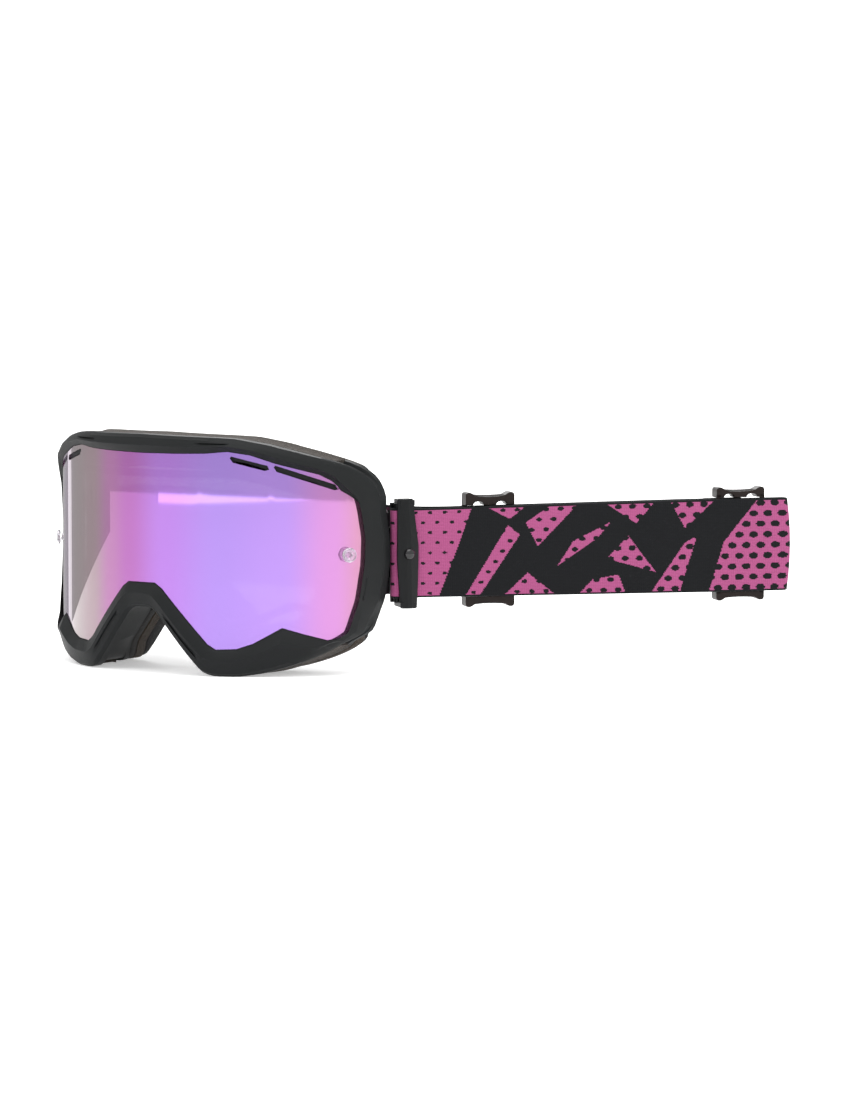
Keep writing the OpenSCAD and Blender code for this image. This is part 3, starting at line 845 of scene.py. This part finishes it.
# Pink openings between the black shards, as corners (along, up) in mm. The last two are the free end's.
openings = [
    [(-2, 23), (43, 23), (37, 6), (26, -23), (-2, -23)],
    [(39, -23), (46, -23), (67, 8), (61, 13)],
    [(49, 23), (71, 23), (62, 16)],
    [(58, -23), (86, -23), (71, -11)],
    [(76, 2), (97, 23), (84, 23), (70, 14)],
    [(86, -8), (106, 5), (113, 13), (94, 4)],
    [(96, -23), (121, -23), (117, -13), (104, -15)],
    [(111, -5), (136, -12), (122, 6)],
    [(109, 23), (136, 23), (126, 12)],
    [(133, -23), (148, -23), (157, 5), (151, 2)],
    [(143, 23), (167, 23), (151, 9)],
    [(171, 2), (216, 2), (216, -23), (163, -23)],
    [(171, 2), (189, 23), (216, 23), (216, 2)],
]
repeat_length = 215
dot_pitch = (7.3, 10.2)
dot_half = (2.3, 1.55)


def clockwise(corners):
    """The corners in clockwise order."""
    turned = sum(a[0] * b[1] - b[0] * a[1] for a, b in zip(corners, corners[1:] + corners[:1]))
    return corners if turned < 0 else corners[::-1]


def strap_material(name):
    """Knitted elastic: ribs along its length, dark selvedges, the print on its outer face, and painted shade
    in the knit's valleys.
    """
    material, shader = plain_material(name, pink, 0.85, Sheen_Weight=0.04, Specular_IOR_Level=0.12)
    tree = material.node_tree

    def worked(operation, *values):
        return add_node(tree, "ShaderNodeMath", dict(enumerate(values)), operation=operation).outputs["Value"]

    def worked_3d(operation, *values, out="Vector"):
        return add_node(tree, "ShaderNodeVectorMath", dict(enumerate(values)),
                        operation=operation).outputs[out]

    flat = add_node(tree, "ShaderNodeUVMap", uv_map="along_and_up").outputs["UV"]
    outside = add_node(tree, "ShaderNodeAttribute", attribute_name="outer_face").outputs["Fac"]
    millimetres = worked_3d("WRAP", worked_3d("MULTIPLY", flat, (1000, 1000, 0)),
                            (repeat_length, 100, 1), (0, -100, 0))
    fuzz = add_node(tree, "ShaderNodeTexNoise", {"Vector": flat, "Scale": 900}).outputs["Color"]
    wander = worked_3d("MULTIPLY", fuzz, (0.9, 0.5, 0))
    knit = worked_3d("SNAP", worked_3d("ADD", millimetres, wander), (0.55, 0.36, 1))
    parts = add_node(tree, "ShaderNodeSeparateXYZ", {"Vector": millimetres})
    along, up = parts.outputs["X"], parts.outputs["Y"]

    # The print: pink inside any of the openings, which are convex, apart from the dots
    shown = None
    for corners in map(clockwise, openings):
        nearest = None
        for a, b in zip(corners, corners[1:] + corners[:1]):
            run = (Vector(b) - Vector(a)).normalized()
            normal = (run.y, -run.x, 0)
            offset = normal[0] * a[0] + normal[1] * a[1]
            value = worked("SUBTRACT", worked_3d("DOT_PRODUCT", knit, normal, out="Value"), offset)
            nearest = value if nearest is None else worked("MINIMUM", nearest, value)
        shown = nearest if shown is None else worked("MAXIMUM", shown, nearest)
    dots = None
    for shift in (0.0, 0.5):
        place = worked_3d("DIVIDE", knit, (dot_pitch[0], dot_pitch[1], 1))
        place = worked_3d("FRACTION", worked_3d("ADD", place, (shift, shift, 0)))
        place = worked_3d("SUBTRACT", place, (0.5, 0.5, 0))
        stretch = (dot_pitch[0] / dot_half[0], dot_pitch[1] / dot_half[1], 0)
        distance = worked_3d("LENGTH", worked_3d("MULTIPLY", place, stretch), out="Value")
        dots = distance if dots is None else worked("MINIMUM", dots, distance)
    bare = worked("GREATER_THAN", dots, ranged(along, 0.48, 1.0, 20, 185))
    field = worked("MULTIPLY", worked("GREATER_THAN", shown, 0), bare)
    selvedge = worked("LESS_THAN", worked("ABSOLUTE", up), 21.5)
    through = worked("ADD", worked("MULTIPLY", outside, 0.84), 0.16)
    field = worked("MULTIPLY", worked("MULTIPLY", field, selvedge), through)

    ribs = worked("SINE", worked("MULTIPLY", up, 2 * math.pi / 0.72))
    stitches_across = worked("SINE", worked("MULTIPLY", along, 2 * math.pi / 1.1))
    weave = worked("ADD", worked("MULTIPLY", ribs, 0.5), worked("MULTIPLY", stitches_across, 0.22))
    slub = add_node(tree, "ShaderNodeTexNoise", {"Vector": flat, "Scale": 1500, "Detail": 3}).outputs["Fac"]
    height = worked("ADD", worked("MULTIPLY", weave, 0.5), slub)
    bumped(shader, height, 0.55, Distance=0.0003)
    # Painted shade: the colour is darkened where the knit's height is low, in the valleys between the ribs
    # and stitches. The slubs add random tone as well.
    shade = ranged(height, 0.62, 1.18, 0.2, 0.9)
    print_with_weave_shade = add_node(tree, "ShaderNodeMix", data_type="RGBA", blend_type="MULTIPLY")
    wire(print_with_weave_shade, {"Factor": 0.55, "A": mixed(field, ink, pink), "B": shade})
    wire(shader, {"Base Color": print_with_weave_shade.outputs["Result"]})
    return material


printed_elastic = strap_material("printed_elastic")


def straight(a, b, step=2.5):
    """Points from a up to but not including b."""
    n = max(1, math.ceil(math.dist(a, b) / step))
    return [(a[0] + (b[0] - a[0]) * i / n, a[1] + (b[1] - a[1]) * i / n) for i in range(n)]


def bend(centre, radius, start, end, steps):
    """Points of an arc about centre, between two angles in degrees."""
    return [(centre[0] + radius * math.cos(math.radians(start + (end - start) * i / steps)),
             centre[1] + radius * math.sin(math.radians(start + (end - start) * i / steps)))
            for i in range(steps + 1)]


def drawn_in(p):
    """How much of its width the strap keeps: it narrows a little towards the outriggers."""
    from_hinge = (Vector((*p, 0)) * mm - beside(1, 20, 0)).length / mm
    return 0.955 + 0.055 * min(1, from_hinge / 150)


def elastic(name, path, first, belly=None):
    """A strip of the strap along plan points in mm; its outer face lies to the right of the path."""
    face = [(half_thick, z) for z in (-21.9, -14, -7, 0, 7, 14, 21.9)]
    top_edge = [(half_thick - 0.2, 22.35), (0.0, 22.5), (0.2 - half_thick, 22.35)]
    profile = (face + top_edge + [(-half_thick, z) for d, z in face[::-1]]
               + [(-d, -z) for d, z in top_edge])
    count = len(profile)
    outer = set(range(len(face) + 1)) | {count - 1}
    rings, along = [], [first]
    for i, p in enumerate(path):
        a, b = path[max(0, i - 1)], path[min(len(path) - 1, i + 1)]
        run = Vector((b[0] - a[0], b[1] - a[1])).normalized()
        if i:
            along.append(along[-1] + math.dist(path[i - 1], p))
        ring = []
        for d, z in profile:
            push = belly(p, z) if belly else (0, 0)
            x, y = p[0] + run.y * d + push[0], p[1] - run.x * d + push[1]
            ring.append(Vector((x, y, z * drawn_in(p))) * mm)
        rings.append(ring)
    points, faces = upright(rings)
    piece = outward(mesh_object(name, points, faces, printed_elastic, 50))
    uv = piece.data.uv_layers.new(name="along_and_up")
    side = piece.data.attributes.new("outer_face", "FLOAT", "FACE")
    for face in piece.data.polygons:
        whole = all(v % count in outer for v in face.vertices)
        side.data[face.index].value = 1.0 if whole and len(face.vertices) == 4 else 0.0
        for loop in face.loop_indices:
            v = piece.data.loops[loop].vertex_index
            uv.data[loop].uv = (along[v // count] * mm, profile[v % count][1] * mm)
    return piece, along[-1] - first


def in_plan(side, path):
    return [tuple(beside(side, t, y).xy / mm) for t, y in path]


# Along the strap from the hinge (t) and towards the head (y), in mm
loop_t, loop_y, loop_radius, loop_end = 6, -2.5, 2.4, 19
front_y_level, return_y_level, back_y_level = loop_y - loop_radius, -1.0, 2.8
fold_t, fold_radius = 202.0, 1.95
fold_middle = (fold_t, (front_y_level + return_y_level) / 2)
bar_a, bar_b, bar_turn = 53.0, 180.0, 1.8


def fold_belly(p, z):
    """The folded end stands out a little in the middle of the strap's width."""
    tip = beside(1, fold_t, -3).xy / mm
    along = Vector((math.cos(headings[1]), math.sin(headings[1])))
    f = share_of((Vector(p) - tip).dot(along), -14, 2)
    push = along * (1.7 * f * f * (1 - (z / strap_half) ** 2) - 0.7 * f * f)
    return push.x, push.y


def sewn_round(bar, level, way, settled, turn):
    """The route from where the strap has settled, round an adjuster's middle bar and back along itself."""
    leg_end = (bar + way * 16.7, level + half_thick)
    return (straight((settled, level - half_thick), (bar + way * 3.8, level - half_thick))
            + bend((bar, level), bar_turn, *turn, 14)
            + straight((bar + way * 3.8, level + half_thick), leg_end) + [leg_end])


loop_path = (straight((loop_end, loop_y + loop_radius), (loop_t, loop_y + loop_radius))
             + bend((loop_t, loop_y), loop_radius, 90, 270, 14))
front_path = in_plan(1, loop_path + straight((8, front_y_level), (fold_t, front_y_level))
                     + bend(fold_middle, fold_radius, -90, 0, 8))
front_first = loop_t - (loop_end - loop_t) - math.pi * loop_radius
front_strap, front_length = elastic("strap_front_run", front_path, front_first, fold_belly)
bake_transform(front_strap)
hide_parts("strap_front_band", "strap_loop_left")

return_path = in_plan(1, bend(fold_middle, fold_radius, 0, 90, 8)
                      + straight((fold_t - 1, return_y_level), (80, return_y_level))
                      + straight((80, return_y_level), (71, return_y_level - half_thick), 1.2)
                      + sewn_round(bar_a, return_y_level, 1, 71, (-60, -300)))
return_strap, return_length = elastic("strap_return_run", return_path, 205, fold_belly)
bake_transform(return_strap)
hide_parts("strap_end_a")

# The back band turns behind each temple, with a straight run between that touches both turns
right_turn_radius, left_turn_radius = 20, 35
band_start, band_end = 20.2, 57.5
right_begin = Vector(beside(-1, band_start, front_y_level).xy) / mm
right_lean = math.radians(4)
right_centre = right_begin + Vector((math.cos(right_lean), math.sin(right_lean))) * right_turn_radius
left_centre = Vector(beside(1, 36, back_y_level + left_turn_radius).xy) / mm
reach = left_centre - right_centre
line_heading = math.atan2(reach.y, reach.x) - math.asin((right_turn_radius + left_turn_radius) / reach.length)
line_out = Vector((-math.sin(line_heading), math.cos(line_heading)))
line_from = right_centre + line_out * right_turn_radius
line_to = left_centre - line_out * left_turn_radius
start_angle = math.degrees(math.atan2(*(right_begin - right_centre).yx)) % 360
top_angle = math.degrees(math.atan2(line_out.y, line_out.x))
turn_from = math.degrees(math.atan2(-line_out.y, -line_out.x))
turn_to = turn_from + math.degrees(headings[1] - line_heading)
back_path = (in_plan(-1, loop_path + straight((8, front_y_level), (band_start, front_y_level)))
             + bend(right_centre, right_turn_radius, start_angle, top_angle, 26)
             + straight(line_from + (line_to - line_from).normalized(), line_to)
             + bend(left_centre, left_turn_radius, turn_from, turn_to, 22)
             + in_plan(1, straight((37.5, back_y_level), (band_end, back_y_level))
                       + [(band_end, back_y_level)]))
back_strap, back_length = elastic("strap_back_run", back_path[::-1], 0)
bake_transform(back_strap)
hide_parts("strap_back_band", "strap_loop_right")

end_path = in_plan(1, straight((band_end, back_y_level), (150, back_y_level))
                   + straight((150, back_y_level), (159, back_y_level - half_thick), 1.2)
                   + sewn_round(bar_b, back_y_level, -1, 159, (-120, 120)))
end_length = sum(math.dist(a, b) for a, b in zip(end_path, end_path[1:]))
end_strap, end_length = elastic("strap_back_end", end_path[::-1], -end_length)
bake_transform(end_strap)
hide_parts("strap_end_b")

# ---------------------------------------------------------------------------
# Rows of small pieces
# One geometry group sets small rounded pieces along a curve. It makes the
# stitches of the sewn ends and the fine ribs on the adjusters' finger edges.
# ---------------------------------------------------------------------------

row_of_pieces = bpy.data.node_groups.new("row_of_pieces", "GeometryNodeTree")
row_of_pieces.interface.new_socket("Geometry", in_out="OUTPUT", socket_type="NodeSocketGeometry")
for name, kind in (("Start", "Vector"), ("Middle", "Vector"), ("End", "Vector"), ("Count", "Int"),
                   ("Size", "Vector"), ("Turn", "Vector"), ("Seed", "Int"), ("Material", "Material")):
    row_of_pieces.interface.new_socket(name, in_out="INPUT", socket_type=f"NodeSocket{kind}")
row_in = row_of_pieces.nodes.new("NodeGroupInput").outputs
curve = add_node(row_of_pieces, "GeometryNodeCurveQuadraticBezier",
                 {"Resolution": 24, **{name: row_in[name] for name in ("Start", "Middle", "End")}})
spots = add_node(row_of_pieces, "GeometryNodeCurveToPoints",
                 {"Curve": curve.outputs["Curve"], "Count": row_in["Count"]})
grain = add_node(row_of_pieces, "GeometryNodeMeshUVSphere", {"Segments": 10, "Rings": 6, "Radius": 0.5})
sized = add_node(row_of_pieces, "GeometryNodeTransform",
                 {"Geometry": grain.outputs["Mesh"], "Scale": row_in["Size"]})
vary = add_node(row_of_pieces, "FunctionNodeRandomValue", {2: 0.9, 3: 1.08, "Seed": row_in["Seed"]},
                data_type="FLOAT")
placed = add_node(row_of_pieces, "GeometryNodeInstanceOnPoints",
                  {"Points": spots.outputs["Points"], "Instance": sized.outputs["Geometry"],
                   "Rotation": row_in["Turn"], "Scale": vary.outputs[1]})
real = add_node(row_of_pieces, "GeometryNodeRealizeInstances", {"Geometry": placed.outputs["Instances"]})
dressed = add_node(row_of_pieces, "GeometryNodeSetMaterial",
                   {"Geometry": real.outputs["Geometry"], "Material": row_in["Material"]})
add_node(row_of_pieces, "NodeGroupOutput", {"Geometry": dressed.outputs["Geometry"]})


def row(name, start, middle, end, count, size, seed, material):
    """A row of small pieces as a plain mesh, turned to the front of the strap."""
    piece = new_object(name, bpy.data.meshes.new(name))
    nodes_modifier = piece.modifiers.new("row", "NODES")
    nodes_modifier.node_group = row_of_pieces
    values = {"Start": start, "Middle": middle, "End": end, "Count": count, "Size": Vector(size) * mm,
              "Turn": (0, 0, headings[1]), "Seed": seed, "Material": material}
    for item in row_of_pieces.interface.items_tree:
        if item.in_out == "INPUT":
            nodes_modifier[item.identifier] = values[item.name]
    return finished(piece)


thread = moulded_plastic("sewing_thread", (0.02, 0.02, 0.022), (0.05, 0.048, 0.05), 0.7, 4000, 0.6)
for word, bar, middle_y, away_from_bar in (("a", bar_a, return_y_level, 1), ("b", bar_b, back_y_level, -1)):
    for row_number, distance in enumerate((5.5, 14.5)):
        for face_number, level in enumerate((middle_y - 1.62, middle_y + 1.62)):
            t = bar + away_from_bar * distance
            stitches = row(f"stitches_{word}_{row_number}_{face_number}", beside(1, t, level, -19.5),
                           beside(1, t, level, 0), beside(1, t, level, 19.5), 18, (0.45, 0.3, 1.7),
                           7 + row_number, thread)
            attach(stitches, f"adjuster_{word}")

# ---------------------------------------------------------------------------
# Adjusters
# Two moulded slides with a middle bar the strap is sewn to and two side bars
# it runs behind. Their finger edges are hollowed between rounded horns.
# ---------------------------------------------------------------------------
adjuster_brown = moulded_plastic("adjuster_plastic", (0.009, 0.0055, 0.0045), (0.017, 0.0105, 0.009),
                                 0.3, 1500, 0.12)
half_long, lift = 12.3, 0.5
horn = [(12.3, 25.2), (12.3, 26.4), (11.9, 27.3), (11.1, 27.7), (9.9, 27.7), (8.9, 27.2), (7.6, 26.4),
        (5.4, 25.8), (2.6, 25.55)]
finger_edge = horn + [(0, 25.5)] + [(-t, z) for t, z in horn[::-1]]


def window_outline(foot):
    """The inner edge of the upper rail, with an arched window between each pair of bars."""
    arch = [(-1, 0), (-0.92, 0.8), (-0.62, 1.5), (-0.2, 1.8), (0.2, 1.8), (0.62, 1.5), (0.92, 0.8), (1, 0)]
    return [(centre + 2.7 * u, foot + v) for centre in (-5.8, 5.8) for u, v in arch]


for word, bar, middle_y, deep, foot, low_foot in (("a", bar_a, return_y_level, 1, 21.6, 22.6),
                                                  ("b", bar_b, back_y_level, -1, 22.7, 23.4)):
    windows = [(-half_long, foot)] + window_outline(foot) + [(half_long, foot)]
    top_rail = [(bar + t, lift + z) for t, z in finger_edge + windows]
    low_rail = [(bar + t, lift - z) for t, z in finger_edge + [(-half_long, low_foot), (half_long, low_foot)]]
    near, far = sorted((middle_y - deep * 1.0, middle_y + deep * 6.5))
    bar_near, bar_far = sorted((middle_y + deep * 5.1, middle_y + deep * 6.5))
    solids = [prism(top_rail, near, far), prism(low_rail, near, far)]
    for end in (-1, 1):
        t0, t1 = sorted((bar + end * 10.0, bar + end * half_long))
        solids.append(prism(box_outline(t0, t1, lift - 24.3, lift + 24.3), bar_near, bar_far))
    solids.append(rod(bar, middle_y, 1.0, lift - 24, lift + 24))
    adjuster = built(f"adjuster_{word}_slide_body", 1, solids, adjuster_brown)
    rounded(adjuster, 0.3)
    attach(adjuster, f"adjuster_{word}")
    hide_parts(f"adjuster_{word}")
    depth = (near + far) / 2
    for up, place in ((-1, "low"), (1, "top")):
        edge_z = lift + up * 26.15
        ends = [beside(1, bar + t, depth, edge_z + up * 0.25) for t in (-8, 8)]
        grip = row(f"grip_ribs_{word}_{place}", ends[0], beside(1, bar, depth, edge_z - up * 0.55), ends[1],
                   25, (0.34, 7.6, 0.5), 11, adjuster_brown)
        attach(grip, f"adjuster_{word}")

# ---------------------------------------------------------------------------
# Silicone lines
# Three rounded beads on the inner face of the back band keep it from sliding
# on a helmet.
# ---------------------------------------------------------------------------
silicone = moulded_plastic("grip_silicone", (0.04, 0.04, 0.045), (0.06, 0.06, 0.065), 0.4, 700, 0.1)
bead = [(0.8, -1.25), (1.08, -1.05), (1.26, -0.6), (1.3, 0), (1.26, 0.6), (1.08, 1.05), (0.8, 1.25)]
line_run = (line_to - line_from).normalized()
bead_line = straight(line_from + line_run, line_to - line_run) + [line_to - line_run]
beads = outward(mesh_object("silicone_lines", *joined([upright([
    [Vector((p[0] - line_out.x * d, p[1] - line_out.y * d, centre_z + z)) * mm for d, z in bead]
    for p in bead_line]) for centre_z in (-13, 0, 13)]), silicone, 50))
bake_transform(beads)
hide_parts("strap_grip_lines")
